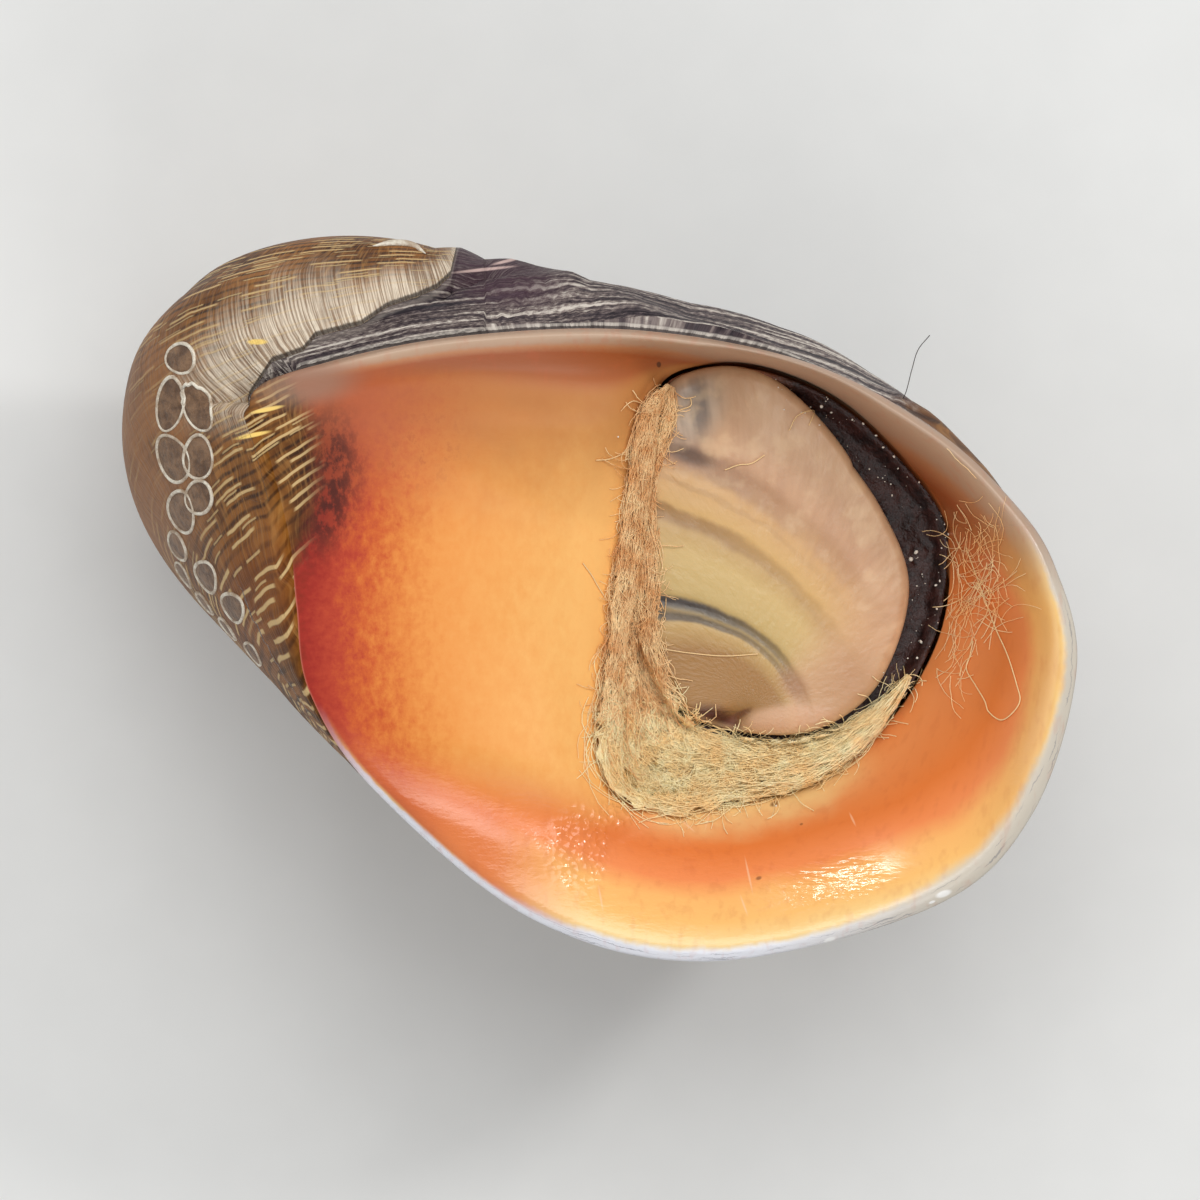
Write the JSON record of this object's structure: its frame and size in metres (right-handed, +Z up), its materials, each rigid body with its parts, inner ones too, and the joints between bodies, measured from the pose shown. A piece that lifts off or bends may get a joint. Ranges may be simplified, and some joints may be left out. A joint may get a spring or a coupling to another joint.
{
  "type": "nerite seashell with operculum",
  "caption": "Nerite shell lying on its back, mouth up: low spire, smooth deck, thick lip, and a D-shaped operculum over dried tissue.",
  "frame": {"origin": "centre of the bounding box at its base, on the surface that the shell lies on", "axes": "+Z up out of the mouth, +X across the mouth from the spire's side to the outer lip, +Y towards the spire's top edge"},
  "size_m": [0.029, 0.022, 0.0162],
  "materials": {
    "shell": "glossy enamel on the deck and lip, brown and dark grey periostracum outside",
    "operculum": "satin, banded",
    "foot": "dried, dark",
    "membrane": "dried, fibrous"
  },
  "bodies": {
    "root": {"shell": "shell", "operculum": "operculum", "foot_tissue": "foot", "membrane": "membrane"}
  },
  "joints": []
}
